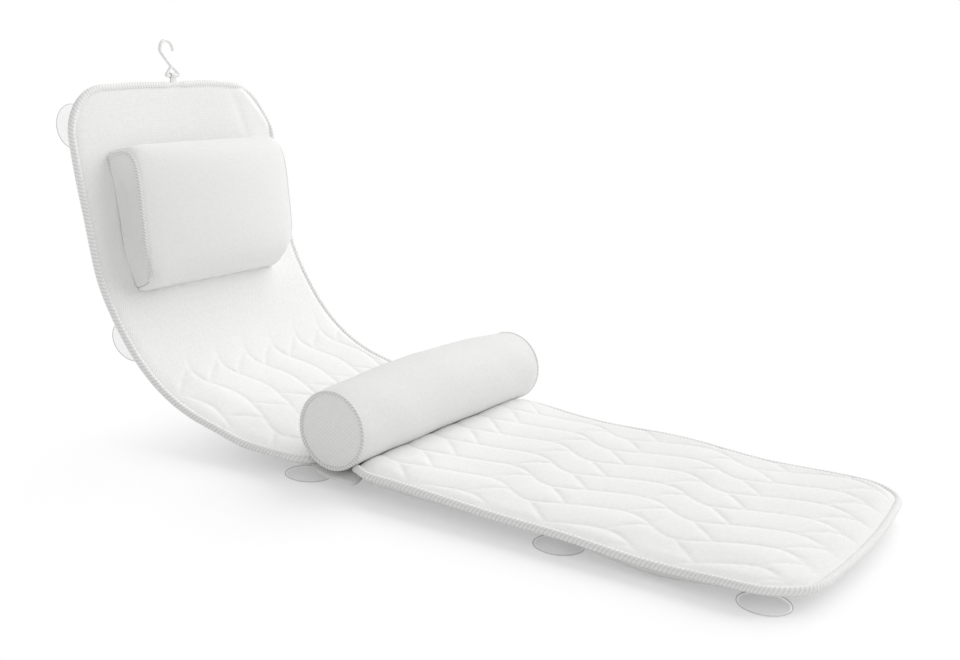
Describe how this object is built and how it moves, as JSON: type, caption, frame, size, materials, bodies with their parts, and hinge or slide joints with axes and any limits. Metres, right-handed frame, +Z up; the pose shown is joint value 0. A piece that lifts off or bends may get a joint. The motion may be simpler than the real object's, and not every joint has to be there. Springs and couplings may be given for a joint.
{
  "type": "bath pillow",
  "caption": "Full-length bath pillow: a wave-quilted air-mesh mat with a corded edge, a head pillow, a bolster roll between seat and legs, suction cups beneath and a hanging hook.",
  "frame": {"origin": "middle of the overall box in plan, on the plane of the floor cups' rims", "axes": "+Z up, +X from the head end to the feet, +Y to the sitter's left"},
  "size_m": [1.0436, 0.41, 0.4979],
  "materials": {
    "air_mesh": "matt open knit",
    "spacer_mesh": "matt spacer knit",
    "backing_cloth": "matt weave",
    "braid": "matt braid",
    "clear_vinyl": "clear, glossy and soft",
    "white_plastic": "gloss white"
  },
  "bodies": {
    "seat": {"seat_face_mesh": "air_mesh", "seat_padding": "spacer_mesh", "seat_backing": "backing_cloth", "seat_edge_piping": "braid", "hinge_band": "backing_cloth", "eyelet_seat_right": "white_plastic", "eyelet_seat_left": "white_plastic"},
    "back": {"back_face_mesh": "air_mesh", "back_padding": "spacer_mesh", "back_backing": "backing_cloth", "back_edge_piping": "braid", "loop_tape_upper": "backing_cloth", "loop_tape_lower": "backing_cloth", "hanger_tab": "backing_cloth", "eyelet_back_top_right": "white_plastic", "eyelet_back_top_left": "white_plastic", "eyelet_back_low_right": "white_plastic", "eyelet_back_low_left": "white_plastic"},
    "leg": {"leg_face_mesh": "air_mesh", "leg_padding": "spacer_mesh", "leg_backing": "backing_cloth", "leg_edge_piping": "braid", "eyelet_leg_mid_right": "white_plastic", "eyelet_leg_mid_left": "white_plastic", "eyelet_leg_end_right": "white_plastic", "eyelet_leg_end_left": "white_plastic"},
    "head_pillow": {"pillow_cover": "air_mesh", "pillow_piping_right": "braid", "pillow_piping_left": "braid", "pillow_gusset_right": "air_mesh", "pillow_gusset_left": "air_mesh", "pillow_core": "spacer_mesh", "hook_tape_upper": "backing_cloth", "hook_tape_lower": "backing_cloth"},
    "bolster": {"bolster_cover": "air_mesh", "bolster_piping_right": "braid", "bolster_piping_left": "braid", "bolster_end_right": "air_mesh", "bolster_end_left": "air_mesh", "bolster_core": "spacer_mesh"},
    "hook": {"hanger_hook": "white_plastic"},
    "cup_back_top_right": {"cup_back_top_right": "clear_vinyl"},
    "cup_back_top_left": {"cup_back_top_left": "clear_vinyl"},
    "cup_back_low_right": {"cup_back_low_right": "clear_vinyl"},
    "cup_back_low_left": {"cup_back_low_left": "clear_vinyl"},
    "cup_seat_right": {"cup_seat_right": "clear_vinyl"},
    "cup_seat_left": {"cup_seat_left": "clear_vinyl"},
    "cup_leg_mid_right": {"cup_leg_mid_right": "clear_vinyl"},
    "cup_leg_mid_left": {"cup_leg_mid_left": "clear_vinyl"},
    "cup_leg_end_right": {"cup_leg_end_right": "clear_vinyl"},
    "cup_leg_end_left": {"cup_leg_end_left": "clear_vinyl"}
  },
  "joints": [
    {"name": "back_fold", "type": "hinge", "parent": "seat", "child": "back", "pos_m": [-0.35977, 0, 0.09145], "axis": [0, -1, 0], "range_deg": [-20, 35]},
    {"name": "leg_fold", "type": "hinge", "parent": "seat", "child": "leg", "pos_m": [-0.01616, 0, 0.0261], "axis": [0, -1, 0], "range_deg": [-30, 30]},
    {"name": "pillow_peel", "type": "slide", "parent": "back", "child": "head_pillow", "axis": [0.9419, 0, 0.3358], "range_m": [0, 0.1]},
    {"name": "bolster_lift", "type": "slide", "parent": "seat", "child": "bolster", "axis": [0, 0, 1], "range_m": [0, 0.15]},
    {"name": "hook_swing", "type": "hinge", "parent": "back", "child": "hook", "pos_m": [-0.50152, 0, 0.44858], "axis": [0, 1, 0], "range_deg": [-150, 150]},
    {"name": "cup_back_top_right_turn", "type": "hinge", "parent": "back", "child": "cup_back_top_right", "pos_m": [-0.51639, -0.17, 0.38453], "axis": [0.9828, 0, 0.1847], "continuous": true},
    {"name": "cup_back_top_left_turn", "type": "hinge", "parent": "back", "child": "cup_back_top_left", "pos_m": [-0.51639, 0.17, 0.38453], "axis": [0.9828, 0, 0.1847], "continuous": true},
    {"name": "cup_back_low_right_turn", "type": "hinge", "parent": "back", "child": "cup_back_low_right", "pos_m": [-0.41448, -0.17, 0.11358], "axis": [0.819, 0, 0.5737], "continuous": true},
    {"name": "cup_back_low_left_turn", "type": "hinge", "parent": "back", "child": "cup_back_low_left", "pos_m": [-0.41448, 0.17, 0.11358], "axis": [0.819, 0, 0.5737], "continuous": true},
    {"name": "cup_seat_right_turn", "type": "hinge", "parent": "seat", "child": "cup_seat_right", "pos_m": [-0.11816, -0.17, 0], "axis": [0, 0, 1], "continuous": true},
    {"name": "cup_seat_left_turn", "type": "hinge", "parent": "seat", "child": "cup_seat_left", "pos_m": [-0.11816, 0.17, 0], "axis": [0, 0, 1], "continuous": true},
    {"name": "cup_leg_mid_right_turn", "type": "hinge", "parent": "leg", "child": "cup_leg_mid_right", "pos_m": [0.22684, -0.17, 0], "axis": [0, 0, 1], "continuous": true},
    {"name": "cup_leg_mid_left_turn", "type": "hinge", "parent": "leg", "child": "cup_leg_mid_left", "pos_m": [0.22684, 0.17, 0], "axis": [0, 0, 1], "continuous": true},
    {"name": "cup_leg_end_right_turn", "type": "hinge", "parent": "leg", "child": "cup_leg_end_right", "pos_m": [0.46384, -0.17, 0], "axis": [0, 0, 1], "continuous": true},
    {"name": "cup_leg_end_left_turn", "type": "hinge", "parent": "leg", "child": "cup_leg_end_left", "pos_m": [0.46384, 0.17, 0], "axis": [0, 0, 1], "continuous": true}
  ]
}
